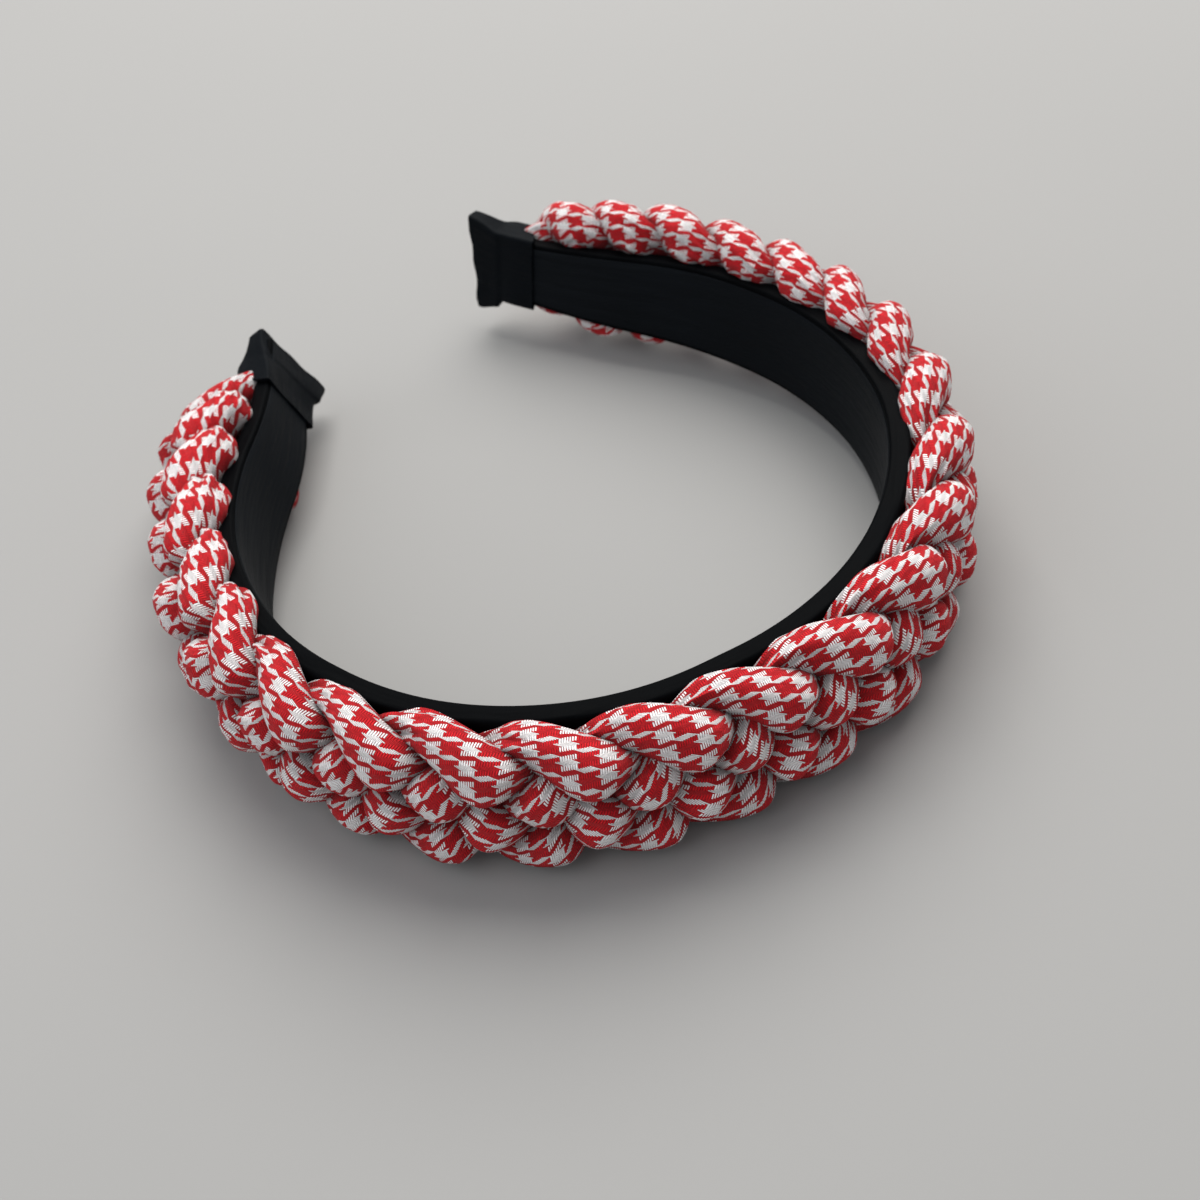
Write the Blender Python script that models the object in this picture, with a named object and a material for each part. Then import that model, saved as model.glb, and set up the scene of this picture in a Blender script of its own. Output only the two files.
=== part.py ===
"""Braided fabric headband.

A sprung plastic hoop with a foam pad lies in a satin cover that a satin lining closes. A flat
braid of five stuffed fabric tubes runs along the outside of the cover, and a satin wrap closes
each end. The band lies on its side: +Z runs across its width, the crown faces -Y and the two
arms run towards +Y. The origin is the middle of the crown's inner face.

Places on the band are given as (along, across, out) in millimetres: along the inner face from
the middle of the crown (negative on the left arm), across the width, and outwards from the
inner face.
"""
import math

import bmesh
import bpy
from mathutils import Vector

MM = 0.001

# Hoop line, as straights and arcs from the middle of the crown to each end.
CROWN_STRAIGHT = 3.0
CROWN_RADIUS = 60.0
CROWN_ANGLE = math.radians(111.0)
SHOULDER_RADIUS = 88.0
SHOULDER_ANGLE = {"left": math.radians(16.0), "right": math.radians(20.0)}
TIP_RADIUS = {"left": 90.0, "right": 200.0}
ARM_LENGTH = {"left": 182.0, "right": 193.0}
# The top edge of each arm leans outwards towards its end, and the right end sits a little higher.
TWIST = {"left": math.radians(22.0), "right": math.radians(14.0)}
TIP_RISE = {"left": 0.0, "right": 2.0}
TWIST_START = 90.0
TWIST_REACH = 72.0

# Widths of the satin-covered hoop.
CROWN_WIDTH = 27.7
TIP_WIDTH = 15.0
TAPER_START = 70.0

# Layers, outwards from the inner face.
GAP = 0.3
LINING_THICKNESS = 0.4
CORE_THICKNESS = 1.4
PAD_THICKNESS = 0.9
COVER_THICKNESS = 0.5
CORE_INNER = LINING_THICKNESS + GAP
PAD_INNER = CORE_INNER + CORE_THICKNESS + GAP
COVER_INNER = PAD_INNER + PAD_THICKNESS + GAP
BAND_THICKNESS = COVER_INNER + COVER_THICKNESS

# End wraps: satin cups over the ends of the hoop and of the braid.
WRAP_LENGTH = 16.0
WRAP_WALL = 0.9
WRAP_OUTER = 7.4
HOOP_END_GAP = 1.2

# Braid of five strands. A strand crosses another at each tenth of its period, apart from its
# two turns at the braid's edges.
STRANDS = 5
PERIOD = 76.0
RINGS_PER_PERIOD = 20
RING_STEP = PERIOD / RINGS_PER_PERIOD
PHASE = 0.5 / RINGS_PER_PERIOD
CROWN_OVERHANG = 2.7
TIP_OVERHANG = 5.0
BRAID_RAISE = 0.6
STRAND_RADIUS_CROWN = 2.4
STRAND_RADIUS_TIP = 1.55
TUBE_WALL = 0.5
LEVEL_SHARE = 0.025
LEVEL_TURN = 0.075
STRAND_SIDES = 5
BRAID_BACK = BAND_THICKNESS + GAP
BRAID_SWING = 2.8
BRAID_END_GAP = 0.6

# Flex lines: where each sprung arm turns when the band opens.
FLEX_ALONG = 15 * RING_STEP
FLEX_OUT = CORE_INNER + CORE_THICKNESS / 2
FLEX_CUT = 1.0
OPENING_ANGLE = math.radians(16.0)

STATION_STEP = 3.6


def arm_segments(side):
    """Lengths and curvatures of the hoop line from the crown to the end of one arm."""
    shoulder = SHOULDER_RADIUS * SHOULDER_ANGLE[side]
    bent = CROWN_STRAIGHT + CROWN_RADIUS * CROWN_ANGLE + shoulder
    return [
        (CROWN_STRAIGHT, 0.0),
        (CROWN_RADIUS * CROWN_ANGLE, 1 / CROWN_RADIUS),
        (shoulder, 1 / SHOULDER_RADIUS),
        (ARM_LENGTH[side] - WRAP_LENGTH - bent, -1 / TIP_RADIUS[side]),
        (2 * WRAP_LENGTH, 0.0),
    ]


def hoop_frame(along):
    """Point of the inner face at a distance along the band, and the outward normal there."""
    side = "left" if along < 0 else "right"
    mirror = -1 if along < 0 else 1
    x = y = heading = 0.0
    left = abs(along)
    for length, curvature in arm_segments(side):
        step = min(left, length)
        turn = step * curvature
        if curvature:
            x += (math.sin(heading + turn) - math.sin(heading)) / curvature
            y += (math.cos(heading) - math.cos(heading + turn)) / curvature
        else:
            x += step * math.cos(heading)
            y += step * math.sin(heading)
        heading += turn
        left -= step
    return Vector((mirror * x, y, 0)), Vector((mirror * math.sin(heading), -math.cos(heading), 0))


def twist_and_rise(along):
    """Lean of the band's section and its height, which grow smoothly along each arm."""
    side = "left" if along < 0 else "right"
    share = min(max((abs(along) - TWIST_START) / TWIST_REACH, 0.0), 1.0)
    share = share * share * (3 - 2 * share)
    return TWIST[side] * share, TIP_RISE[side] * share


def place(along, across, out):
    """World point, in metres, of a place on the band."""
    point, normal = hoop_frame(along)
    twist, rise = twist_and_rise(along)
    away = out * math.cos(twist) + across * math.sin(twist)
    height = rise + across * math.cos(twist) - out * math.sin(twist)
    return (point + normal * away + Vector((0, 0, height))) * MM


def end_along(side):
    """Distance along the band of one end, with its sign."""
    return -ARM_LENGTH[side] if side == "left" else ARM_LENGTH[side]


def half_width(along):
    """Half the width of the covered hoop, constant over the crown and under the wraps."""
    side = "left" if along < 0 else "right"
    taper_end = ARM_LENGTH[side] - WRAP_LENGTH
    share = (abs(along) - TAPER_START) / (taper_end - TAPER_START)
    share = min(max(share, 0.0), 1.0)
    return (CROWN_WIDTH + (TIP_WIDTH - CROWN_WIDTH) * share) / 2


def material(name, colour, roughness, metallic=0.0):
    """Plain Principled material."""
    made = bpy.data.materials.new(name)
    made.use_nodes = True
    shader = made.node_tree.nodes["Principled BSDF"]
    shader.inputs["Base Color"].default_value = (*colour, 1)
    shader.inputs["Roughness"].default_value = roughness
    shader.inputs["Metallic"].default_value = metallic
    return made


def pivot_empty(side):
    """Empty on the flex line of one arm, which carries that arm's pieces."""
    empty = bpy.data.objects.new(side + "_arm_pivot", None)
    along = -FLEX_ALONG if side == "left" else FLEX_ALONG
    empty.location = place(along, 0, FLEX_OUT)
    empty.empty_display_size = 10 * MM
    bpy.context.collection.objects.link(empty)
    return empty


def add_solid(name, points, faces, finish, pivot):
    """Object with a closed mesh, held by its arm's pivot empty if it has one."""
    origin = pivot.location if pivot else Vector()
    mesh = bpy.data.meshes.new(name)
    mesh.from_pydata([p - origin for p in points], [], faces)
    shape = bmesh.new()
    shape.from_mesh(mesh)
    bmesh.ops.triangulate(shape, faces=shape.faces)
    bmesh.ops.recalc_face_normals(shape, faces=shape.faces)
    shape.to_mesh(mesh)
    shape.free()
    mesh.materials.append(finish)
    made = bpy.data.objects.new(name, mesh)
    made.parent = pivot
    bpy.context.collection.objects.link(made)
    return made


def skin(rings, first, flip=False):
    """Quads that join rings of points, the first point having the given index."""
    count = len(rings[0])
    quads = []
    for i in range(len(rings) - 1):
        for k in range(count):
            low = first + i * count
            a, b = low + k, low + (k + 1) % count
            quad = (a, b, b + count, a + count)
            quads.append(quad[::-1] if flip else quad)
    return quads


def add_rod(name, rings, finish, pivot):
    """Solid rod through rings of points."""
    count = len(rings[0])
    last = (len(rings) - 1) * count
    faces = skin(rings, 0)
    faces.append(tuple(range(count)))
    faces.append(tuple(range(last, last + count)))
    return add_solid(name, [p for ring in rings for p in ring], faces, finish, pivot)


def add_tube(name, outer, inner, finish, pivot):
    """Tube with open ends between two sets of rings."""
    count = len(outer[0])
    inner_first = len(outer) * count
    faces = skin(outer, 0) + skin(inner, inner_first, flip=True)
    for row in (0, len(outer) - 1):
        for k in range(count):
            a = row * count + k
            b = row * count + (k + 1) % count
            faces.append((a, b, b + inner_first, a + inner_first))
    points = [p for ring in outer + inner for p in ring]
    return add_solid(name, points, faces, finish, pivot)


def stations(start, stop):
    """Stations along the band between two places, with a pair round the flat middle."""
    if start < 0 < stop:
        middle = [-CROWN_STRAIGHT, CROWN_STRAIGHT]
        return stations(start, middle[0])[:-1] + middle + stations(middle[1], stop)[1:]
    count = max(1, round(abs(stop - start) / STATION_STEP))
    return [start + (stop - start) * i / count for i in range(count + 1)]


def body_spans():
    """The crown and the two arms: name, start, stop and side of each rigid length of hoop."""
    cut = FLEX_ALONG + FLEX_CUT / 2
    spans = [("crown", -FLEX_ALONG + FLEX_CUT / 2, FLEX_ALONG - FLEX_CUT / 2, None)]
    spans.append(("left", -cut, end_along("left") + HOOP_END_GAP, "left"))
    spans.append(("right", cut, end_along("right") - HOOP_END_GAP, "right"))
    return spans


def strip_rings(start, stop, inset, low, high):
    """Rings of a flat strip that follows the hoop."""
    rings = []
    for along in stations(start, stop):
        half = half_width(along) - inset
        corners = [(-half, low), (half, low), (half, high), (-half, high)]
        rings.append([place(along, across, out) for across, out in corners])
    return rings


def channel_rings(start, stop):
    """Rings of the satin cover: a web on the outside and a wall along each edge."""
    rings = []
    for along in stations(start, stop):
        outer = half_width(along)
        inner = outer - COVER_THICKNESS
        corners = [
            (-outer, 0), (-outer, BAND_THICKNESS), (outer, BAND_THICKNESS), (outer, 0),
            (inner, 0), (inner, COVER_INNER), (-inner, COVER_INNER), (-inner, 0),
        ]
        rings.append([place(along, across, out) for across, out in corners])
    return rings


def add_channel(name, rings, finish, pivot):
    """Solid channel whose ends are three quads each, so no end face is concave."""
    faces = skin(rings, 0)
    count = len(rings[0])
    for row in (0, len(rings) - 1):
        first = row * count
        for corners in ((0, 1, 6, 7), (1, 2, 5, 6), (2, 3, 4, 5)):
            faces.append(tuple(first + k for k in corners))
    return add_solid(name, [p for ring in rings for p in ring], faces, finish, pivot)


def add_hoop(finishes, pivots):
    """Plastic core, foam pad, satin cover and satin lining of the crown and of each arm."""
    inset = COVER_THICKNESS + GAP
    for name, start, stop, side in body_spans():
        pivot = pivots.get(side)
        core = strip_rings(start, stop, inset, CORE_INNER, CORE_INNER + CORE_THICKNESS)
        add_rod("hoop_core_" + name, core, finishes["plastic"], pivot)
        pad = strip_rings(start, stop, inset, PAD_INNER, PAD_INNER + PAD_THICKNESS)
        add_rod("foam_pad_" + name, pad, finishes["foam"], pivot)
        lining = strip_rings(start, stop, inset, 0, LINING_THICKNESS)
        add_rod("satin_lining_" + name, lining, finishes["satin"], pivot)
        add_channel("satin_cover_" + name, channel_rings(start, stop), finishes["satin"], pivot)


def add_end_wrap(side, finish, pivot):
    """Cup with flat faces over one end of the hoop, its pocket open towards the crown."""
    end = end_along(side)
    inward = -1 if side == "right" else 1
    half = half_width(end) + GAP
    mouth = end + inward * WRAP_LENGTH
    floor = end + inward * WRAP_WALL

    def ring(along, grow):
        low, high = -GAP - grow, (WRAP_OUTER if grow else BAND_THICKNESS + GAP)
        wide = half + grow
        corners = [(-wide, low), (wide, low), (wide, high), (-wide, high)]
        return [place(along, across, out) for across, out in corners]

    rings = [ring(end, WRAP_WALL), ring(mouth, WRAP_WALL), ring(mouth, 0), ring(floor, 0)]
    add_rod("end_wrap_" + side, rings, finish, pivot)


def strand_height(phase):
    """Height of a strand in the braid, level at -1 under a crossing and at 1 over one."""
    from_turn = (phase + 0.25) % 0.5 - 0.25
    if abs(from_turn) < 0.1:
        wave = math.sin(5 * math.pi * from_turn) / math.sin(5 * math.pi * LEVEL_TURN)
    else:
        wave = math.cos(10 * math.pi * phase) / math.cos(10 * math.pi * LEVEL_SHARE)
        wave = -wave if phase % 1 < 0.5 else wave
    return min(max(wave, -1.0), 1.0)


def strand_side(phase):
    """Place of a strand across the braid, from -1 to 1: a zigzag with rounded turns."""
    return math.asin(0.96 * math.cos(2 * math.pi * phase)) / math.asin(0.96)


def between(along, at_tip, at_crown):
    """Value that changes from the crown to the tips as the width of the band does."""
    share = (half_width(along) - TIP_WIDTH / 2) / ((CROWN_WIDTH - TIP_WIDTH) / 2)
    return at_tip + (at_crown - at_tip) * share


def strand_radius(along):
    """Outside radius of a strand, which the narrower braid of the arms squeezes."""
    return between(along, STRAND_RADIUS_TIP, STRAND_RADIUS_CROWN)


def strand_middle(index, along):
    """Place across and out of the middle of a strand."""
    phase = along / PERIOD + index / STRANDS + PHASE
    radius = strand_radius(along)
    reach = half_width(along) + between(along, TIP_OVERHANG, CROWN_OVERHANG) - radius
    across = BRAID_RAISE + reach * strand_side(phase)
    out = BRAID_BACK + STRAND_RADIUS_CROWN + BRAID_SWING * (1 + strand_height(phase))
    return across, out


def strand_section(index, along, radius, lean):
    """Ring of a strand in the plane across the band, widened by the strand's slant."""
    across, out = strand_middle(index, along)
    ahead = strand_middle(index, along + 0.5)[0]
    behind = strand_middle(index, along - 0.5)[0]
    widen = math.hypot(1, (ahead - behind) / (1 + out / CROWN_RADIUS))
    ring = []
    for k in range(STRAND_SIDES):
        angle = 2 * math.pi * (k + 0.5) / STRAND_SIDES
        point_out = out + radius * math.sin(angle)
        point_across = across + radius * widen * math.cos(angle)
        ring.append(place(along + lean * (point_out - FLEX_OUT), point_across, point_out))
    return ring


def strand_stations(first, last):
    """Even stations that lie strictly between two places."""
    steps = range(math.floor(first / RING_STEP) + 1, math.ceil(last / RING_STEP))
    return [step * RING_STEP for step in steps]


def add_strand(index, finishes, pivots):
    """Fabric tube and stuffing cord of one strand, for the crown and for each arm."""
    lean = math.tan(OPENING_ANGLE / 2) / (1 + (BRAID_BACK + BRAID_SWING) / CROWN_RADIUS)
    cut = FLEX_CUT / 2
    margin = WRAP_LENGTH + BRAID_END_GAP
    crown = [(along, 0.0) for along in strand_stations(-FLEX_ALONG, FLEX_ALONG)]
    left = [(along, 0.0) for along in strand_stations(end_along("left") + margin, -FLEX_ALONG)]
    right = [(along, 0.0) for along in strand_stations(FLEX_ALONG, end_along("right") - margin)]
    spans = {
        "crown": [(-FLEX_ALONG + cut, lean)] + crown + [(FLEX_ALONG - cut, -lean)],
        "left": left + [(-FLEX_ALONG - cut, -lean)],
        "right": [(FLEX_ALONG + cut, lean)] + right,
    }
    for name, places in spans.items():

        def rings(shrink):
            return [
                strand_section(index, along, strand_radius(along) - shrink, tilt)
                for along, tilt in places
            ]

        stem = "strand_%d_" % (index + 1)
        pivot = pivots.get(name)
        add_tube(stem + "tube_" + name, rings(0), rings(TUBE_WALL), finishes["fabric"], pivot)
        add_rod(stem + "cord_" + name, rings(TUBE_WALL + GAP), finishes["stuffing"], pivot)


def main():
    for old in list(bpy.data.objects):
        bpy.data.objects.remove(old)
    finishes = {
        "plastic": material("hoop_plastic", (0.80, 0.80, 0.78), 0.45),
        "foam": material("pad_foam", (0.85, 0.85, 0.82), 0.95),
        "satin": material("black_satin", (0.010, 0.010, 0.013), 0.38),
        "fabric": material("check_fabric", (0.62, 0.20, 0.22), 0.85),
        "stuffing": material("stuffing_wadding", (0.86, 0.85, 0.82), 0.95),
    }
    pivots = {"left": pivot_empty("left"), "right": pivot_empty("right")}
    add_hoop(finishes, pivots)
    for side, pivot in pivots.items():
        add_end_wrap(side, finishes["satin"], pivot)
    for index in range(STRANDS):
        add_strand(index, finishes, pivots)


main()
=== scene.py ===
"""Looks of the braided headband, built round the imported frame.

Places on the band are (along, across, out) in millimetres: along the hoop's inner face from the
middle of the crown (negative on the left arm), across the band's width, and outwards.
"""
import math

import bpy
import numpy as np
from mathutils import Matrix, Vector, noise


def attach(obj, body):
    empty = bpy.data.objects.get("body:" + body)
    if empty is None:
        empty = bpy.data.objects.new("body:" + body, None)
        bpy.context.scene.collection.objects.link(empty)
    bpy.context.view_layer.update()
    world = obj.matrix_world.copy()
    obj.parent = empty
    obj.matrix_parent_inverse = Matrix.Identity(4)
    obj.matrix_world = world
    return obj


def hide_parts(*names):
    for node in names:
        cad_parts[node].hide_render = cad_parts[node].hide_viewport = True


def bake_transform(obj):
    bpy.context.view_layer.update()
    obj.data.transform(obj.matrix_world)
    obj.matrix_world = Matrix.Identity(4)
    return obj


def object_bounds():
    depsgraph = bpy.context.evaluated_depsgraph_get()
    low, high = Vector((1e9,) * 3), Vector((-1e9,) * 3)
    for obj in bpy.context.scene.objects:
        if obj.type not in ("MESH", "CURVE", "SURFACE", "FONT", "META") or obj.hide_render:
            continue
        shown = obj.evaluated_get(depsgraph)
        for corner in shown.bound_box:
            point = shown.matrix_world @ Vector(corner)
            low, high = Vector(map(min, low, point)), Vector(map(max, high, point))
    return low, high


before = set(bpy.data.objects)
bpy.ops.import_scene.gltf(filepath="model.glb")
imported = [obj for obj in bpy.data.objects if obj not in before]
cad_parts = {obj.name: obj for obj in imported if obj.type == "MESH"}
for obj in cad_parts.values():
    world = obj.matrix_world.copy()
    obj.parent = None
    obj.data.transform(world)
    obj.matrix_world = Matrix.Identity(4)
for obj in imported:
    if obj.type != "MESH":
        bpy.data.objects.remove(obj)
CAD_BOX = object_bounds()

MM = 0.001

# Hoop line and satin-covered band, as in the frame.
CROWN_STRAIGHT = 3.0
CROWN_RADIUS, CROWN_ANGLE = 60.0, math.radians(111.0)
SHOULDER_RADIUS = 88.0
LEFT_SHOULDER, RIGHT_SHOULDER = math.radians(16.0), math.radians(20.0)
LEFT_TIP_RADIUS, RIGHT_TIP_RADIUS = 90.0, 200.0
LEFT_LENGTH, RIGHT_LENGTH = 182.0, 193.0
WRAP_LENGTH = 16.0
CROWN_WIDTH, TIP_WIDTH, TAPER_START = 28.9, 15.0, 70.0
BAND_THICKNESS = 4.1
LEFT_TWIST, RIGHT_TWIST = math.radians(22.0), math.radians(14.0)
TWIST_START, TWIST_REACH = 90.0, 72.0
RIGHT_RISE = 1.4

# Layers of the band: (inner, outer) distances from the inner face, and insets from its edges.
COVER_THICKNESS, SATIN_SAG = 0.5, 0.15
LINING_LAYER, LINING_INSET = (-0.2, 0.02), 1.1
CORE_LAYER, FOAM_LAYER, CORE_INSET = (0.75, 2.1), (2.3, 3.3), 1.0
HOOP_END_GAP = 1.5

# Braid. A strand's phase runs 0 to 1 over one full zigzag; it turns at the upper edge at 0.
STRANDS = 5
PERIOD = 76.0
PHASE = 0.025
BRAID_HALF, ARM_NARROWING, LEFT_NARROWING, END_NARROWING = 16.5, 0.9, 0.9, 3.6
EDGE_INSET = 4.9
BRAID_RAISE, LEFT_RAISE, RIGHT_RAISE, LEFT_TIP_DROP = 0.8, 1.8, 2.0, 1.2
RIGHT_TIGHTENING, TIGHT_FROM = 0.13, 90.0
BRAID_MIDDLE, BRAID_DOME = 4.0, 2.2
BRAID_SWING, ARM_SWING_LOSS = 2.7, 0.1
INNER_CLEARANCE = 1.0
END_ROUND, SQUARENESS = 2.4, 0.86
TURN_ROUNDNESS = 0.80
LOBE_MIDDLE, DIVES = 0.05, (0.2, 0.4, 0.7, 0.9)

# Where along the band the braid changes: the arms, the left tip, and the strands' ends.
ARM_FROM, ARM_OVER = 50.0, 80.0
LEFT_TIP_FROM, LEFT_TIP_OVER = 115.0, 40.0
END_EASE, END_BUNCH, END_FREE = 9.0, 24.0, 6.0
END_HEIGHT = 0.15

# At its ends each strand dips towards the hoop, gathers and flattens, and runs into the wrap.
BRAID_TUCK, TUCK_EASE, TUCK_OUT, TUCK_GATHER, TUCK_SQUEEZE = 6.0, 9.0, 5.2, 0.35, 0.5

# Sections of the strands, half sizes in mm.
WIDE, WIDE_OVER, WIDE_UNDER, WIDE_EDGE, WIDE_ARM = 4.4, 1.15, -0.3, 0.25, 0.1
WIDE_INNER_LOBE, WIDE_EDGE_LOBE = 0.7, -0.3
THICK, THICK_HEIGHT, THICK_EDGE, THICK_EDGE_ARM = 3.6, 1.0, 0.7, 0.5
ARM_BULK, LEFT_TIP_BULK, BULK_TO_THICK = 0.14, 0.5, 0.7
EDGE_DROP, EDGE_DROP_ARM, EDGE_DROP_LEFT, ARM_DROP, LEFT_TIP_OUT = 0.2, 1.9, 0.8, 0.8, 2.2
WANDER_WIDE, WANDER_ACROSS, WANDER_OUT = 0.5, 0.6, 0.5
LEFT_HURRY = 0.35
CORD_SHARE, CORD_SKIP = 0.62, 4
STEP, AROUND = ((0.75, 44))

# End wraps: how they flare, fold and lean towards the tips, and how far the mouth slants.
WRAP_PLAY, WRAP_WALL = 0.25, 0.7
WRAP_FLARE_OVER, WRAP_PINCH_OVER = 7.0, 11.0
LEFT_TOP_FLARE, RIGHT_TOP_FLARE, BOTTOM_FLARE = 0.5, 2.2, 1.4
WRAP_FOLD_AT, WRAP_FOLD = 7.6, 1.6
MOUTH_SLANT = 0.26
WRAP_LEAN, WRAP_END_WAVE, WRAP_FACE_WAVE = 0.13, 0.9, 0.35
LEFT_CURL, CURL_HEIGHT = math.radians(9.0), 2.0

# Cloth: yarn spacings in mm, yarns in a repeat of the check and of the twill.
WARP, WEFT = 0.44, 0.23
REPEAT, WHITE_WARPS, WHITE_WEFTS, TWILL = 16, 7, 7, 8
AROUND_REPEATS = 9
YARN_DRIFT = 1.5
FOLD_RADIUS, FOLD_STRETCH, SWELL_DEPTH, RIDGE_DEPTH, GATHER_DEPTH = 2.6, 0.11, 0.30, 0.30, 0.85
WHITE_YARN = (0.82, 0.775, 0.775), (0.93, 0.895, 0.89)
RED_YARN = (0.48, 0.006, 0.014), (0.66, 0.016, 0.020)


def smooth(t):
    """Smoothstep of an array clipped to 0..1."""
    t = np.clip(t, 0.0, 1.0)
    return t * t * (3 - 2 * t)


def hoop_line(along):
    """x, y and heading of the inner face at distances along the band."""
    along = np.asarray(along, float)
    left = along < 0
    curved = CROWN_RADIUS * CROWN_ANGLE
    shoulder = SHOULDER_RADIUS * np.where(left, LEFT_SHOULDER, RIGHT_SHOULDER)
    tip = np.where(left, LEFT_LENGTH, RIGHT_LENGTH) - WRAP_LENGTH - CROWN_STRAIGHT - curved - shoulder
    tip_bend = -1 / np.where(left, LEFT_TIP_RADIUS, RIGHT_TIP_RADIUS)
    rest = np.abs(along)
    x, y, heading = np.zeros_like(rest), np.zeros_like(rest), np.zeros_like(rest)
    parts = [
        (CROWN_STRAIGHT, 1e-9), (curved, 1 / CROWN_RADIUS), (shoulder, 1 / SHOULDER_RADIUS),
        (tip, tip_bend), (3 * WRAP_LENGTH, 1e-9),
    ]
    for length, bend in parts:
        step = np.minimum(rest, length)
        turn = step * bend
        x += (np.sin(heading + turn) - np.sin(heading)) / bend
        y += (np.cos(heading) - np.cos(heading + turn)) / bend
        heading += turn
        rest = rest - step
    return np.where(left, -x, x), y, heading


def bend_radius(along):
    """Radius of the hoop line, very large past the shoulders."""
    reach = np.abs(along)
    first = CROWN_STRAIGHT + CROWN_RADIUS * CROWN_ANGLE
    second = first + SHOULDER_RADIUS * LEFT_SHOULDER
    past_crown = smooth((reach - first + 6) / 12)
    past_shoulder = smooth((reach - second + 8) / 16)
    bend = (1 - past_crown) / CROWN_RADIUS + past_crown * (1 - past_shoulder) / SHOULDER_RADIUS
    return 1 / np.maximum(bend, 1e-4)


def place(along, across, out):
    """World points, in metres, of places on the band. The arms' top edges lean outwards."""
    along, across, out = np.broadcast_arrays(*(np.asarray(v, float) for v in (along, across, out)))
    x, y, heading = hoop_line(along)
    turned = smooth((np.abs(along) - TWIST_START) / TWIST_REACH)
    twist = np.where(along < 0, LEFT_TWIST, RIGHT_TWIST) * turned
    rise = across * np.cos(twist) - out * np.sin(twist) + RIGHT_RISE * turned * (along > 0)
    away = out * np.cos(twist) + across * np.sin(twist)
    mirror = np.where(along < 0, -1.0, 1.0)
    points = [x + mirror * np.sin(heading) * away, y - np.cos(heading) * away, rise]
    return np.stack(points, axis=-1) * MM


def half_width(along):
    """Half the width of the covered hoop."""
    along = np.asarray(along, float)
    taper_end = np.where(along < 0, LEFT_LENGTH, RIGHT_LENGTH) - WRAP_LENGTH
    share = np.clip((np.abs(along) - TAPER_START) / (taper_end - TAPER_START), 0, 1)
    return (CROWN_WIDTH + (TIP_WIDTH - CROWN_WIDTH) * share) / 2


def strand_end(side):
    """Where the strands end, a little past the wraps' mouths."""
    reach = (LEFT_LENGTH if side == "left" else RIGHT_LENGTH) - WRAP_LENGTH + BRAID_TUCK
    return -reach if side == "left" else reach


# ---------------------------------------------------------------- meshes

def grid_mesh(name, points, material, uv=None, close_ends=True, sharp=50.0):
    """Closed tube from rings of points, shaped (rings, around, 3), with optional UVs in mm."""
    rings, around = points.shape[:2]
    verts = points.reshape(-1, 3)
    row = np.arange(around)
    nxt = (row + 1) % around
    base = (np.arange(rings - 1) * around)[:, None]
    quads = np.stack([base + row, base + nxt, base + around + nxt, base + around + row], -1)
    quads = quads.reshape(-1, 4)
    faces = [tuple(q) for q in quads.tolist()]
    if close_ends:
        faces.append(tuple(range(around))[::-1])
        faces.append(tuple(range((rings - 1) * around, rings * around)))
    mesh = bpy.data.meshes.new(name)
    mesh.from_pydata(verts.tolist(), [], faces)
    if uv is not None:
        u, v, turn = uv
        layer = mesh.uv_layers.new(name="Cloth")
        column = np.tile(np.arange(around), rings - 1)
        line = np.repeat(np.arange(rings - 1), around)
        wrapped = (column + 1) % around
        lift = np.where(column + 1 == around, turn, 0.0)
        corners = np.empty((len(quads), 4, 2))
        corners[:, 0] = np.stack([u[line, column], v[line, column]], -1)
        corners[:, 1] = np.stack([u[line, wrapped], v[line, wrapped] + lift], -1)
        corners[:, 2] = np.stack([u[line + 1, wrapped], v[line + 1, wrapped] + lift], -1)
        corners[:, 3] = np.stack([u[line + 1, column], v[line + 1, column]], -1)
        flat = np.zeros((len(mesh.loops), 2))
        flat[: len(quads) * 4] = corners.reshape(-1, 2)
        layer.data.foreach_set("uv", flat.astype(np.float32).ravel())
    mesh.polygons.foreach_set("use_smooth", [True] * len(mesh.polygons))
    mesh.set_sharp_from_angle(angle=math.radians(sharp))
    mesh.materials.append(material)
    made = bpy.data.objects.new(name, mesh)
    bpy.context.scene.collection.objects.link(made)
    return made


def flip_if_inside_out(made):
    """Turns the faces of a closed mesh outwards."""
    mesh = made.data
    mesh.calc_loop_triangles()
    co = np.empty(len(mesh.vertices) * 3, np.float32)
    mesh.vertices.foreach_get("co", co)
    co = co.reshape(-1, 3).astype(float)
    tri = np.empty(len(mesh.loop_triangles) * 3, np.int32)
    mesh.loop_triangles.foreach_get("vertices", tri)
    a, b, c = (co[tri.reshape(-1, 3)[:, k]] for k in range(3))
    if np.einsum("ij,ij->i", a, np.cross(b, c)).sum() < 0:
        mesh.flip_normals()
    return made


# ---------------------------------------------------------------- materials

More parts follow.
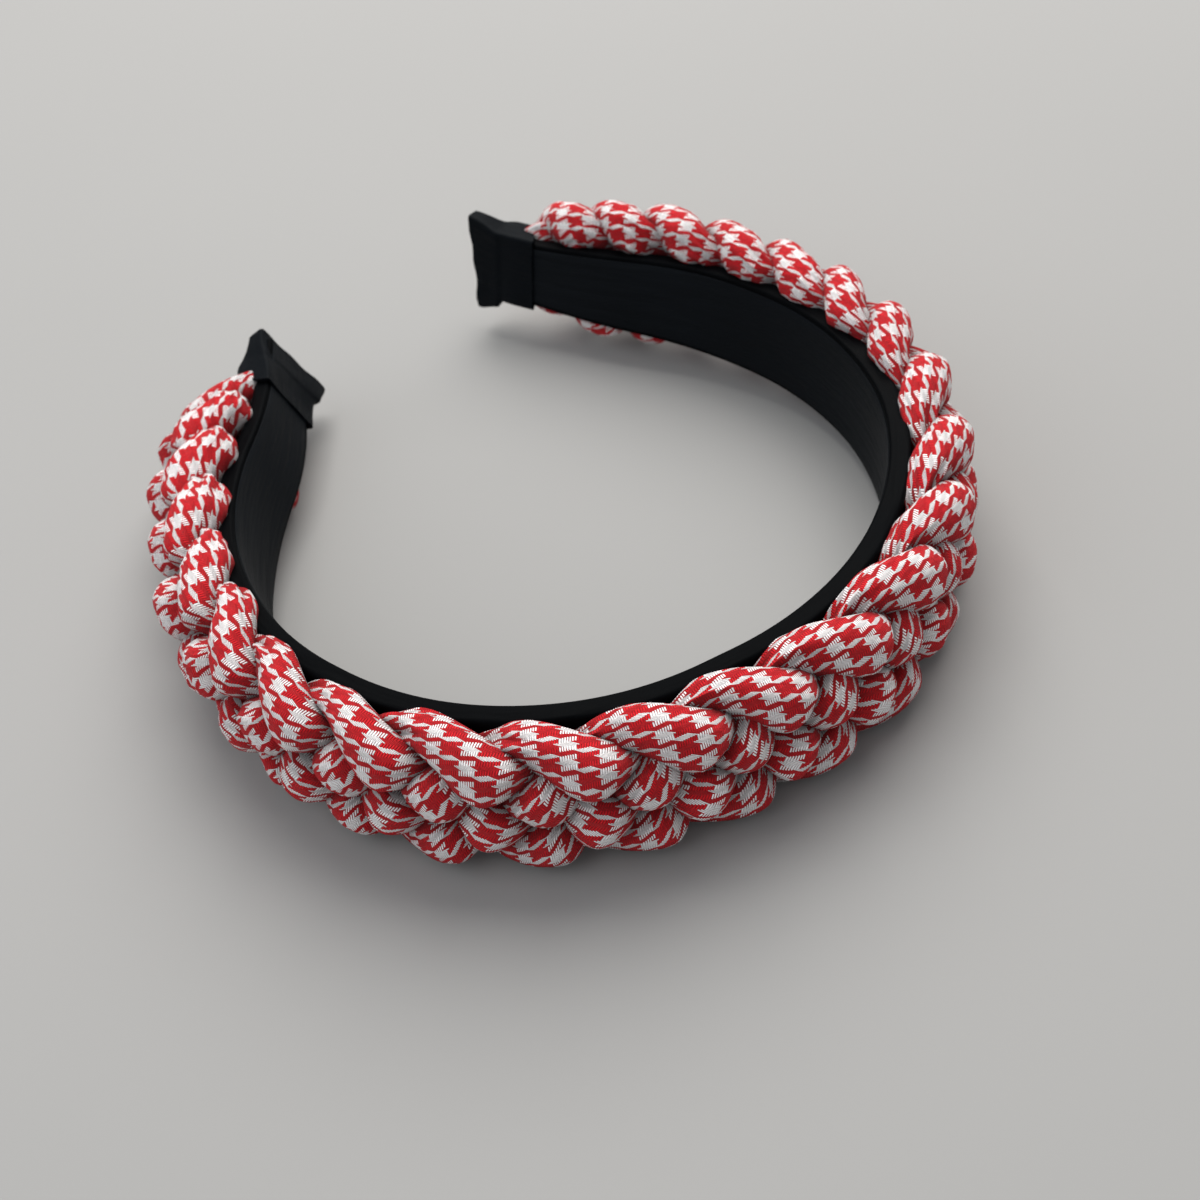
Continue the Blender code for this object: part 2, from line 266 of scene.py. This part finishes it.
class Nodes:
    """Small helper that adds nodes to one material."""

    def __init__(self, name):
        self.material = bpy.data.materials.new(name)
        self.material.use_nodes = True
        self.tree = self.material.node_tree
        self.shader = self.tree.nodes["Principled BSDF"]

    def link(self, value, socket):
        if isinstance(value, (int, float)):
            socket.default_value = value
        elif isinstance(value, tuple):
            socket.default_value = (*value, 1.0) if len(value) == 3 else value
        else:
            self.tree.links.new(value, socket)

    def math(self, operation, a, b=0.0):
        node = self.tree.nodes.new("ShaderNodeMath")
        node.operation = operation
        self.link(a, node.inputs[0])
        self.link(b, node.inputs[1])
        return node.outputs[0]

    def mix(self, share, a, b):
        node = self.tree.nodes.new("ShaderNodeMix")
        node.data_type = "RGBA"
        self.link(share, node.inputs["Factor"])
        self.link(a, node.inputs["A"])
        self.link(b, node.inputs["B"])
        return node.outputs["Result"]

    def lerp(self, share, a, b):
        return self.math("ADD", self.math("MULTIPLY", self.math("SUBTRACT", b, a), share), a)

    def noise(self, vector, scale, detail=2.0):
        node = self.tree.nodes.new("ShaderNodeTexNoise")
        node.inputs["Scale"].default_value = scale
        node.inputs["Detail"].default_value = detail
        if vector is not None:
            self.link(vector, node.inputs["Vector"])
        return node.outputs["Fac"]

    def position(self):
        return self.tree.nodes.new("ShaderNodeTexCoord").outputs["Object"]

    def vector(self, x, y, z=0.0):
        node = self.tree.nodes.new("ShaderNodeCombineXYZ")
        for value, socket in zip((x, y, z), node.inputs):
            self.link(value, socket)
        return node.outputs[0]

    def uv(self):
        node = self.tree.nodes.new("ShaderNodeUVMap")
        node.uv_map = "Cloth"
        split = self.tree.nodes.new("ShaderNodeSeparateXYZ")
        self.tree.links.new(node.outputs[0], split.inputs[0])
        return split.outputs[0], split.outputs[1]

    def crevice(self, distance):
        """1 in the open, falling towards 0 in creases."""
        node = self.tree.nodes.new("ShaderNodeAmbientOcclusion")
        node.samples = 6
        node.inputs["Distance"].default_value = distance
        return node.outputs["AO"]

    def random(self, value):
        node = self.tree.nodes.new("ShaderNodeTexWhiteNoise")
        node.noise_dimensions = "1D"
        self.link(value, node.inputs["W"])
        return node.outputs["Value"]

    def bump(self, height, strength, distance, normal=None):
        node = self.tree.nodes.new("ShaderNodeBump")
        node.inputs["Strength"].default_value = strength
        node.inputs["Distance"].default_value = distance
        self.link(height, node.inputs["Height"])
        if normal is not None:
            self.link(normal, node.inputs["Normal"])
        return node.outputs[0]

    def set(self, **values):
        for key, value in values.items():
            self.link(value, self.shader.inputs[key.replace("_", " ")])
        return self.material


def check_cloth():
    """Brushed twill in a broken red and off-white check, woven yarn by yarn, with painted shade
    between yarns and in creases.
    """
    n = Nodes("check_cloth")
    u, v = n.uv()
    drift = n.noise(n.position(), 160.0)
    warp = n.math("ADD", n.math("DIVIDE", u, WARP), n.math("MULTIPLY", drift, YARN_DRIFT))
    weft = n.math("ADD", n.math("DIVIDE", v, WEFT), n.math("MULTIPLY", drift, -YARN_DRIFT))
    i, j = n.math("FLOOR", warp), n.math("FLOOR", weft)
    twill = n.math("FLOORED_MODULO", n.math("ADD", i, j), TWILL)
    top = n.math("LESS_THAN", twill, TWILL / 2)
    warp_red = n.math("GREATER_THAN", n.math("FLOORED_MODULO", i, REPEAT), WHITE_WARPS - 0.5)
    weft_red = n.math("GREATER_THAN", n.math("FLOORED_MODULO", j, REPEAT), WHITE_WEFTS - 0.5)
    ridge_u = n.math("SINE", n.math("MULTIPLY", n.math("FRACT", warp), math.pi))
    ridge_v = n.math("SINE", n.math("MULTIPLY", n.math("FRACT", weft), math.pi))
    ridge = n.lerp(top, ridge_v, ridge_u)
    red = n.lerp(top, weft_red, warp_red)
    between = n.math("LESS_THAN", ridge, n.lerp(top, 0.15, 0.50))
    other_red = n.lerp(top, warp_red, weft_red)
    red = n.math("MAXIMUM", red, n.math("MULTIPLY", between, other_red))
    yarn_tone = n.lerp(top, n.random(n.math("ADD", j, 900.5)), n.random(i))
    fibre = n.noise(n.position(), 2600.0, 3.0)
    tone = n.math("ADD", 0.92, n.math("MULTIPLY", yarn_tone, 0.26))
    tone = n.math("ADD", tone, n.math("MULTIPLY", fibre, 0.34))
    # painted shade: the colour darkens towards the edges of each yarn, between the yarns
    painted_groove_shade = n.math("ADD", 0.46, n.math("MULTIPLY", ridge, 0.54))
    # painted shade: ambient occlusion darkens the colour in creases and where strands press together,
    # and lightens it a little in the open
    painted_crease_shade = n.math("POWER", n.crevice(0.006), 1.5)
    # the yarns' own tone times the painted shade, used as the colour's value
    tone_and_painted_shade = n.math("MULTIPLY", n.math("MULTIPLY", tone, painted_groove_shade), n.lerp(painted_crease_shade, 0.30, 1.10))
    white = n.mix(fibre, *WHITE_YARN)
    deep = n.mix(fibre, *RED_YARN)
    colour = n.mix(red, white, deep)
    hsv = n.tree.nodes.new("ShaderNodeHueSaturation")
    n.link(colour, hsv.inputs["Color"])
    n.link(tone_and_painted_shade, hsv.inputs["Value"])
    fuzz = n.noise(n.position(), 5200.0, 2.0)
    height = n.math("ADD", n.math("MULTIPLY", ridge, 0.8), n.math("MULTIPLY", fuzz, 0.5))
    wrinkle = n.noise(n.vector(n.math("MULTIPLY", u, 0.10), n.math("MULTIPLY", v, 0.42)), 1.0, 2.0)
    normal = n.bump(height, 0.9, 0.00025, n.bump(wrinkle, 0.55, 0.0016))
    n.set(Base_Color=hsv.outputs[0], Roughness=0.9, Normal=normal)
    n.set(Sheen_Weight=0.06, Sheen_Roughness=0.5, Specular_IOR_Level=0.18)
    return n.material


def black_satin(name, tone, rib=0.0, shine=0.05):
    """Black satin with a fine weave, a soft uneven sheen and, on the wraps, woven ribs."""
    n = Nodes(name)
    u, v = n.uv()
    cloud = n.noise(n.position(), 45.0, 3.0)
    weave = n.math("SINE", n.math("MULTIPLY", v, 2 * math.pi / 0.16))
    cross = n.math("SINE", n.math("MULTIPLY", u, 2 * math.pi / 0.24))
    height = n.math("ADD", n.math("MULTIPLY", weave, 0.3), n.math("MULTIPLY", cross, 0.15))
    grain = n.noise(n.position(), 1800.0, 3.0)
    height = n.math("ADD", height, n.math("MULTIPLY", grain, 0.5))
    if rib:
        ribs = n.math("SINE", n.math("MULTIPLY", u, 2 * math.pi / rib))
        height = n.math("ADD", height, n.math("MULTIPLY", ribs, 1.2))
    pull = n.vector(n.math("MULTIPLY", n.math("ADD", u, v), 0.06), n.math("MULTIPLY", v, 0.3))
    normal = n.bump(height, 0.35, 0.00006, n.bump(n.noise(pull, 1.0), 0.5, 0.0012))
    roughness = n.math("ADD", 0.42, n.math("MULTIPLY", cloud, 0.16))
    colour = n.mix(cloud, tuple(c * 0.5 for c in tone), tone)
    n.set(Base_Color=colour, Roughness=roughness, Normal=normal)
    n.set(Sheen_Weight=0.0, Specular_IOR_Level=shine)
    return n.material


def plain(name, colour, roughness, grain_scale, grain):
    """Simple material for the pieces inside, with grain in its colour and surface."""
    n = Nodes(name)
    spots = n.noise(n.position(), grain_scale, 3.0)
    dark = tuple(c * (1 - grain) for c in colour)
    normal = n.bump(spots, 0.4, 0.0002)
    n.set(Base_Color=n.mix(spots, dark, colour), Roughness=roughness, Normal=normal)
    return n.material


# ---------------------------------------------------------------- braid

def from_turn(phase):
    """Signed phase from the nearest edge of the braid."""
    return (phase + 0.25) % 0.5 - 0.25


def strand_height(phase, hurry=0.0):
    """-1 where the strand passes under another, 1 where it passes over.

    hurry shortens the lobes at the edges and lengthens the ones between.
    """
    turn = from_turn(phase)
    reach = np.where(np.abs(turn) < 0.2, np.minimum(np.abs(turn) * (1 + hurry), 0.2), np.abs(turn))
    wave = -np.sign(turn) * np.cos(10 * np.pi * reach)
    return np.where(reach < 0.1, np.sign(turn) * np.sin(5 * np.pi * reach), wave)


def strand_side(phase):
    """-1 to 1 across the braid: a zigzag with rounded turns."""
    return np.arcsin(TURN_ROUNDNESS * np.cos(2 * np.pi * phase)) / math.asin(TURN_ROUNDNESS)


def wander(along, row, reach):
    """Slow random unevenness along the band."""
    return reach * np.array([noise.noise(Vector((a * 0.055, row * 3.7, 1.3))) for a in along])


def strand_path(index, along):
    """Middle of a strand, half-sizes of its section, its height and its phase along the band."""
    tighter = RIGHT_TIGHTENING * np.maximum(along - TIGHT_FROM, 0)
    phase = (along + tighter) / PERIOD + index / STRANDS + PHASE
    near_end = np.minimum(along - strand_end("left"), strand_end("right") - along)
    bunch, free = smooth(1 - near_end / END_BUNCH), smooth(near_end / END_FREE)
    arm = smooth((np.abs(along) - ARM_FROM) / ARM_OVER)
    left_arm, right_arm = arm * (along < 0), arm * (along > 0)
    left_tip = smooth((-along - LEFT_TIP_FROM) / LEFT_TIP_OVER)

    # Lobes: the one at each edge, and the one just below the upper edge that comes back up.
    height = strand_height(phase, LEFT_HURRY * left_arm)
    edge = smooth(1 - np.abs(from_turn(phase)) / 0.16)
    inner_lobe = smooth(1 - np.abs((phase % 1) - 0.8) / 0.1)
    height = height * (1 + (0.5 * arm - 0.25) * inner_lobe)
    edge_lobe = smooth(1 - np.abs(from_turn(phase) - 0.07) / 0.08) * left_arm
    height = height * (1 - 0.55 * edge_lobe)
    height = height + (END_HEIGHT - height) * smooth(1 - near_end / END_EASE)

    over, under = np.clip(height, 0, 1), np.clip(-height, 0, 1)
    wide = WIDE + WIDE_OVER * over + WIDE_UNDER * under + WIDE_EDGE * edge + WIDE_ARM * arm
    wide += wander(along, index, WANDER_WIDE)
    wide += WIDE_INNER_LOBE * left_arm * inner_lobe + WIDE_EDGE_LOBE * edge_lobe
    bulk = 1 + (ARM_BULK * arm + LEFT_TIP_BULK * left_tip) * free
    swollen = (THICK_EDGE + THICK_EDGE_ARM * arm) * edge * (1 - 0.5 * np.abs(height))
    thick = (THICK + THICK_HEIGHT * height + swollen) * (1 + BULK_TO_THICK * (bulk - 1))

    reach = BRAID_HALF - EDGE_INSET - ARM_NARROWING * arm - LEFT_NARROWING * left_arm
    reach -= END_NARROWING * bunch
    raised = BRAID_RAISE + LEFT_RAISE * left_arm - LEFT_TIP_DROP * left_tip
    raised += RIGHT_RAISE * right_arm * (1 - bunch)
    side = strand_side(phase)
    across = raised + reach * side + wander(along, index + 9, WANDER_ACROSS)

    swing = BRAID_SWING * (1 - ARM_SWING_LOSS * arm) * height
    dome = BRAID_DOME * (1 - side ** 2)
    out = BAND_THICKNESS + (BRAID_MIDDLE + swing + dome) * bulk
    out += wander(along, index + 20, WANDER_OUT) - ARM_DROP * arm
    out -= (EDGE_DROP + EDGE_DROP_ARM * arm + EDGE_DROP_LEFT * left_arm) * edge
    out = np.maximum(out + LEFT_TIP_OUT * left_tip * free, thick + INNER_CLEARANCE)
    tucked = smooth(1 - near_end / TUCK_EASE)
    out = out + (TUCK_OUT - out) * tucked
    across, wide = across * (1 - TUCK_GATHER * tucked), wide * (1 - TUCK_GATHER * tucked)
    thick = thick * (1 - TUCK_SQUEEZE * tucked)

    gap = np.clip(near_end / END_ROUND, 0.0, 1.0)
    cap = np.sqrt(np.clip(1 - (1 - gap) ** 2, 0.3, 1))
    return across, out, wide * cap, thick * cap, height, phase


def strand_points(index, along, around, shrink=1.0, folds=True):
    """Rings of a strand, and their cloth coordinates in mm."""
    across, out, wide, thick, height, phase = strand_path(index, along)
    stretch = 1 + out / bend_radius(along)
    run, rise = np.gradient(along) * stretch, np.gradient(across)
    size = np.hypot(run, rise)
    slant_along, slant_across = -rise / size / stretch, run / size
    angle = np.linspace(0, 2 * np.pi, around, endpoint=False)[None, :]
    cosine, sine = (np.sign(w) * np.abs(w) ** SQUARENESS for w in (np.cos(angle), np.sin(angle)))

    def ring_points(scale):
        flat = cosine * wide[:, None] * scale
        return place(
            along[:, None] + slant_along[:, None] * flat,
            across[:, None] + slant_across[:, None] * flat,
            out[:, None] + sine * thick[:, None] * scale,
        )

    points = ring_points(shrink)
    u = cloth_length(points, phase)
    turn = AROUND_REPEATS * REPEAT * WEFT
    v = angle / (2 * np.pi) * turn + 0 * u
    if folds:
        depth = fold_field(index, u, v, turn, height)
        points = ring_points(1 + depth / np.hypot(cosine * wide[:, None], sine * thick[:, None]))
    return points, (u, v, turn)


def cloth_length(points, phase):
    """Length along the cloth: true on the visible side of each lobe, eased where it is hidden."""
    steps = np.linalg.norm(np.diff(points, axis=0, prepend=points[:1]), axis=2) / MM
    length = np.cumsum(steps, axis=0)
    middle = length.mean(axis=1, keepdims=True)
    extra = length - middle
    first = math.floor(phase[0]) * len(DIVES)
    count = (math.ceil(phase[-1]) - math.floor(phase[0])) * len(DIVES)

    def at_lobe(number):
        spot = (LOBE_MIDDLE + number / len(DIVES) - phase[0]) / (phase[-1] - phase[0])
        return extra[int(np.clip(round(spot * (len(phase) - 1)), 0, len(phase) - 1))]

    base = at_lobe(first) + 0 * extra
    for number in range(first, first + count):
        dive = DIVES[number % len(DIVES)] + number // len(DIVES)
        share = smooth((phase - dive) / 0.06 + 0.5)[:, None]
        base += share * (at_lobe(number + 1) - at_lobe(number))
    return middle + extra - base


def fold_field(index, u, v, turn, height):
    """Soft folds that run along the strand and gather where it dives under another."""
    ridge_depth = RIDGE_DEPTH + GATHER_DEPTH * smooth((0.35 - height) / 1.2)
    result = np.zeros_like(u)
    for row in range(u.shape[0]):
        for col in range(u.shape[1]):
            ring = 2 * np.pi * v[row, col] / turn
            y = FOLD_RADIUS * math.cos(ring)
            z = FOLD_RADIUS * math.sin(ring) + 7.3 * index
            spot = Vector((u[row, col] * FOLD_STRETCH, y, z))
            swell = noise.noise(spot * 0.45)
            result[row, col] = SWELL_DEPTH * swell + ridge_depth[row] * noise.noise(spot)
    return result


def strand_split(index):
    """Place near the middle of the crown where a strand passes under another."""
    spots = np.arange(-12, 12, 0.25)
    height = strand_height(spots / PERIOD + index / STRANDS + PHASE)
    return float(spots[np.argmin(height)])


BLEND = {"left": (-16.0, -128.0), "right": (16.0, 128.0)}


def bend_with_arm(piece, side):
    """Bakes the placement of a half of the band into its mesh; the places it works out at the crown
    and the arm are not used.
    """
    near, far = BLEND[side]
    start, end = (Vector(place(s, 0, 2.0)) for s in (near, far))
    start.z = end.z = 0
    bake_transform(piece)


def build_strands(cloth, wadding):
    """Cloth tube and stuffing of each strand, in two halves that meet where it is hidden."""
    for index in range(STRANDS):
        middle = strand_split(index)
        full = np.arange(strand_end("left"), strand_end("right"), STEP)
        cut = int(np.argmin(np.abs(full - middle)))
        points, (u, v, turn) = strand_points(index, full, AROUND)
        cord, _ = strand_points(index, full[::CORD_SKIP], 12, shrink=CORD_SHARE, folds=False)
        stem = "strand_%d" % (index + 1)
        for side, rows in (("left", slice(0, cut + 1)), ("right", slice(cut, None))):
            tube = grid_mesh(f"{stem}_cloth_{side}", points[rows], cloth, (u[rows], v[rows], turn))
            flip_if_inside_out(tube)
            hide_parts(f"{stem}_tube_{side}", f"{stem}_tube_crown")
            bend_with_arm(tube, side)
            cord_cut = cut // CORD_SKIP
            few = slice(0, cord_cut + 1) if side == "left" else slice(cord_cut, None)
            core = grid_mesh(f"{stem}_stuffing_{side}", cord[few], wadding)
            flip_if_inside_out(core)
            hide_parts(f"{stem}_cord_{side}", f"{stem}_cord_crown")
            bend_with_arm(core, side)


# ---------------------------------------------------------------- hoop

def rounded_profile(path, thickness):
    """Closed outline of a bent cloth layer whose middle follows a path of (across, out)."""
    path = np.asarray(path, float)
    ahead = np.gradient(path, axis=0)
    ahead /= np.linalg.norm(ahead, axis=1, keepdims=True)
    normal = np.stack([ahead[:, 1], -ahead[:, 0]], 1)
    return np.concatenate([path + normal * thickness / 2, (path - normal * thickness / 2)[::-1]])


def cover_path(half, lip=4.0, corner=0.7, inner_corner=0.45):
    """Middle line of the satin cover's section, from lip to lip round the outside."""
    skin = COVER_THICKNESS / 2
    low, high, edge = skin, BAND_THICKNESS - skin, half - skin
    arc = np.linspace(0, np.pi / 2, 6)
    points = [(-(edge - lip), low)]
    for a in arc:
        rise = inner_corner * (1 - math.cos(a))
        points.append((-(edge - inner_corner) - inner_corner * math.sin(a), low + rise))
    for a in arc:
        points.append((-(edge - corner) - corner * math.cos(a), high - corner * (1 - math.sin(a))))
    left = np.array(points)
    right = left[::-1] * np.array([-1, 1])
    top = np.linspace(left[-1], right[0], 9)[1:-1]
    return np.concatenate([left, top, right])


def sweep_profile(name, along, profiles, material, side):
    """Sweeps one closed outline per place along the band."""
    profiles = np.asarray(profiles)
    points = place(along[:, None], profiles[:, :, 0], profiles[:, :, 1])
    step = np.linalg.norm(np.diff(profiles[0], axis=0, append=profiles[0][:1]), axis=1)
    v = np.tile(np.concatenate([[0], np.cumsum(step)[:-1]]), (len(along), 1))
    u = np.tile(along[:, None], (1, profiles.shape[1]))
    made = grid_mesh(name, points, material, (u, v, float(step.sum())))
    flip_if_inside_out(made)
    bend_with_arm(made, side)
    return made


def half_stations(side, end_gap, step=1.5):
    """Places from the middle of the crown to a little short of one end of the band."""
    reach = (LEFT_LENGTH if side == "left" else RIGHT_LENGTH) - end_gap
    return np.linspace(0, -reach if side == "left" else reach, int(reach / step) + 1)


def sag(along, phase):
    """Slow unevenness of the satin along the band."""
    return np.array([noise.noise(Vector((a * 0.045, phase, 0.0))) for a in along])


def strip_profile(half, low, high, columns=9):
    """Outline of a flat strip with softened edges."""
    r = (high - low) / 2
    arc = np.linspace(-np.pi / 2, np.pi / 2, 5)
    right = [(half - r + r * math.cos(a), low + r + r * math.sin(a)) for a in arc]
    left = [(-(half - r) - r * math.cos(a), low + r - r * math.sin(a)) for a in arc]
    bottom = [(x, low) for x in np.linspace(-(half - r), half - r, columns)[1:-1]]
    top = [(x, high) for x in np.linspace(half - r, -(half - r), columns)[1:-1]]
    return np.array(bottom + right + top + left)


def build_hoop(satin, lining_satin_painted_sheen, plastic, foam):
    """Cover, lining, plastic core and foam pad, each in two halves that meet at the crown."""
    for side in ("left", "right"):
        along = half_stations(side, HOOP_END_GAP)
        half = half_width(along) + SATIN_SAG * sag(along, 3.1)
        cover = sweep_profile(
            "satin_cover_" + side + "_half", along,
            [rounded_profile(cover_path(h), COVER_THICKNESS) for h in half], satin, side,
        )
        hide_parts("satin_cover_" + side, "satin_cover_crown")
        lining_half = half - LINING_INSET + SATIN_SAG * sag(along, 8.2)
        lining = sweep_profile(
            "satin_lining_" + side + "_half", along,
            [strip_profile(h, *LINING_LAYER) for h in lining_half], lining_satin_painted_sheen, side,
        )
        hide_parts("satin_lining_" + side, "satin_lining_crown")
        core = sweep_profile(
            "plastic_core_" + side + "_half", along,
            [strip_profile(h - CORE_INSET, *CORE_LAYER) for h in half], plastic, side,
        )
        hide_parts("hoop_core_" + side, "hoop_core_crown")
        pad = sweep_profile(
            "foam_sheet_" + side + "_half", along,
            [strip_profile(h - CORE_INSET, *FOAM_LAYER) for h in half], foam, side,
        )
        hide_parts("foam_pad_" + side, "foam_pad_crown")


# ---------------------------------------------------------------- end wraps

def wrap_section(side, gap, grow):
    """Outline of an end wrap at a distance from the end; grow is 0 on the pocket wall.

    Towards the end the wrap flares in width, has a folded step below, and is pinched thin.
    """
    flare = smooth((WRAP_FLARE_OVER - gap) / WRAP_FLARE_OVER) ** 0.8
    step = smooth((WRAP_FOLD_AT - gap) / 1.2)
    pinch = smooth(1 - gap / WRAP_PINCH_OVER)
    pocket = TIP_WIDTH / 2 + WRAP_PLAY
    top_flare = LEFT_TOP_FLARE if side == "left" else RIGHT_TOP_FLARE
    top = pocket + grow * (WRAP_WALL + top_flare * flare)
    bottom = pocket + grow * (WRAP_WALL + WRAP_FOLD * step + BOTTOM_FLARE * flare)
    low = -0.35 - grow * (0.35 + 0.25 * step - 0.7 * pinch)
    high = BAND_THICKNESS + 0.2 + grow * (3.4 - 3.9 * pinch)
    r = min(0.7, (high - low) / 2.05)
    arc = np.linspace(0, np.pi / 2, 5)
    centres = (top - r, high - r), (-bottom + r, high - r), (-bottom + r, low + r), (top - r, low + r)
    corners = []
    for quarter, (x, y) in enumerate(centres):
        angles = arc + quarter * np.pi / 2
        corners.append([(x + r * math.cos(a), y + r * math.sin(a)) for a in angles])
    points = []
    for k, corner in enumerate(corners):
        points += corner
        after = corners[(k + 1) % 4][0]
        count = 12 if k in (0, 2) else 2
        points += [tuple(p) for p in np.linspace(corner[-1], after, count + 2)[1:-1]]
    return np.array(points)


def build_wrap(side, material):
    """End wrap: a pocket round the hoop's and the strands' ends, closed at the tip."""
    end = LEFT_LENGTH if side == "left" else RIGHT_LENGTH
    sign = -1 if side == "left" else 1
    outer_gaps = np.concatenate([np.linspace(WRAP_LENGTH, 0.8, 30), [0.3, 0.0]])
    inner_gaps = np.linspace(WRAP_LENGTH, 2.5, 6)
    rings, along = [], []
    for gap in inner_gaps[::-1]:
        rings.append(wrap_section(side, gap, 0.0))
        along.append(gap)
    for gap in outer_gaps:
        rings.append(wrap_section(side, gap, 1.0))
        along.append(gap)
    rings = np.array(rings)
    gaps = np.array(along)[:, None] + 0 * rings[:, :, 0]
    outer = (np.arange(len(rings)) >= len(inner_gaps))[:, None]
    wave = np.array([
        [noise.noise(Vector((p[0] * 0.16, p[1] * 0.2, gap * 0.13 + 5 * sign))) for p in ring]
        for ring, gap in zip(rings, along)
    ])
    lean = -WRAP_LEAN * rings[:, :, 0] * smooth(1 - gaps / 8.0)
    gaps = gaps + outer * (WRAP_END_WAVE * wave + lean) * smooth(1 - gaps / 6.0)
    rings[:, :, 1] += WRAP_FACE_WAVE * wave * outer
    gaps = gaps * (1 - MOUTH_SLANT * np.clip((rings[:, :, 1] - 0.5) / 6.5, 0, 1))
    if side == "left":
        curl = LEFT_CURL * smooth(1 - gaps / 14.0)
        across, out = rings[:, :, 0].copy(), rings[:, :, 1] - CURL_HEIGHT
        rings[:, :, 0] = across * np.cos(curl) - out * np.sin(curl)
        rings[:, :, 1] = CURL_HEIGHT + out * np.cos(curl) + across * np.sin(curl)
    points = place(sign * (end - gaps), rings[:, :, 0], rings[:, :, 1])
    step = np.linalg.norm(np.diff(rings[-1], axis=0, append=rings[-1][:1]), axis=1)
    v = np.tile(np.concatenate([[0], np.cumsum(step)[:-1]]), (len(rings), 1))
    made = grid_mesh("wrap_cloth_" + side, points, material, (gaps, v, float(step.sum())), sharp=60)
    flip_if_inside_out(made)
    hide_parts("end_wrap_" + side)
    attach(made, side + "_arm")


# ---------------------------------------------------------------- stage

def build_stage():
    """Pale floor, soft daylight from a window on the right, and the room's own light."""
    low = CAD_BOX[0].z - 0.2 * MM
    mesh = bpy.data.meshes.new("floor")
    size = 3.0
    corners = [(-size, -size, low), (size, -size, low), (size, size, low), (-size, size, low)]
    mesh.from_pydata(corners, [], [(0, 1, 2, 3)])
    n = Nodes("floor_paper")
    soft = n.noise(n.position(), 4.0)
    n.set(Specular_IOR_Level=0.2)
    n.set(Base_Color=n.mix(soft, (0.355, 0.350, 0.342), (0.380, 0.375, 0.367)), Roughness=0.75)
    mesh.materials.append(n.material)
    floor = bpy.data.objects.new("floor", mesh)
    bpy.context.scene.collection.objects.link(floor)
    world = bpy.data.worlds.new("studio")
    bpy.context.scene.world = world
    world.use_nodes = True
    world.node_tree.nodes["Background"].inputs[0].default_value = (0.93, 0.96, 1.0, 1)
    world.node_tree.nodes["Background"].inputs[1].default_value = 0.36
    lamps = (
        ("window", (0.40, 0.64, 1.00), 1.2, 22.0, (1.0, 0.98, 0.95)),
        ("fill", (-0.8, 0.1, 0.8), 1.0, 4.0, (0.92, 0.96, 1.0)),
    )
    for name, spot, size, power, colour in lamps:
        light = bpy.data.lights.new(name, "AREA")
        light.size = size
        light.energy = power
        light.color = colour
        lamp = bpy.data.objects.new(name, light)
        lamp.location = spot
        lamp.rotation_euler = (Vector((0, 0.06, 0)) - Vector(spot)).to_track_quat("-Z", "Y").to_euler()
        bpy.context.scene.collection.objects.link(lamp)


def build_camera():
    """Camera at the viewing angle: azimuth, elevation and roll about the view line."""
    azimuth, elevation, roll = (math.radians(a) for a in (-21.43, 47.17, -8.78))
    target, distance = Vector((-6.17, 34.88, -0.38)) * MM, 335.5 * MM
    flat = math.cos(elevation)
    back = Vector((math.sin(azimuth) * flat, -math.cos(azimuth) * flat, math.sin(elevation)))
    level = Vector((math.cos(azimuth), math.sin(azimuth), 0))
    upright = back.cross(level)
    right = math.cos(roll) * level + math.sin(roll) * upright
    up = math.cos(roll) * upright - math.sin(roll) * level
    data = bpy.data.cameras.new("camera")
    data.sensor_width = 36.0
    data.lens = 53.51
    crown = Vector((0, -12, 10)) * MM
    data.dof.use_dof = True
    data.dof.focus_distance = distance + (target - crown).dot(back)
    data.dof.aperture_fstop = 30.0
    camera = bpy.data.objects.new("camera", data)
    axes = Matrix((right, up, back)).transposed()
    camera.matrix_world = Matrix.Translation(target + back * distance) @ axes.to_4x4()
    bpy.context.scene.collection.objects.link(camera)
    bpy.context.scene.camera = camera


def main():
    # The cover and the lining are one black satin: the cover's darker tone is painted shade on its
    # rim, and the lining's lighter, bluer tone is painted blue-grey sheen on the inner face.
    satin = black_satin("satin", (0.0020, 0.0025, 0.0032), shine=0.02)
    lining = black_satin("lining_satin_painted_sheen", (0.0068, 0.0088, 0.0115))
    wrap_satin = black_satin("wrap_satin", (0.0035, 0.0052, 0.0075), rib=0.55)
    plastic = plain("core_plastic", (0.78, 0.78, 0.76), 0.45, 60.0, 0.08)
    foam = plain("sheet_foam", (0.82, 0.82, 0.80), 0.95, 900.0, 0.35)
    build_hoop(satin, lining, plastic, foam)
    build_strands(check_cloth(), plain("wadding", (0.85, 0.84, 0.81), 0.95, 700.0, 0.3))
    for side in ("left", "right"):
        build_wrap(side, wrap_satin)
    build_stage()
    build_camera()
    bpy.context.scene.view_settings.view_transform = "Standard"


main()
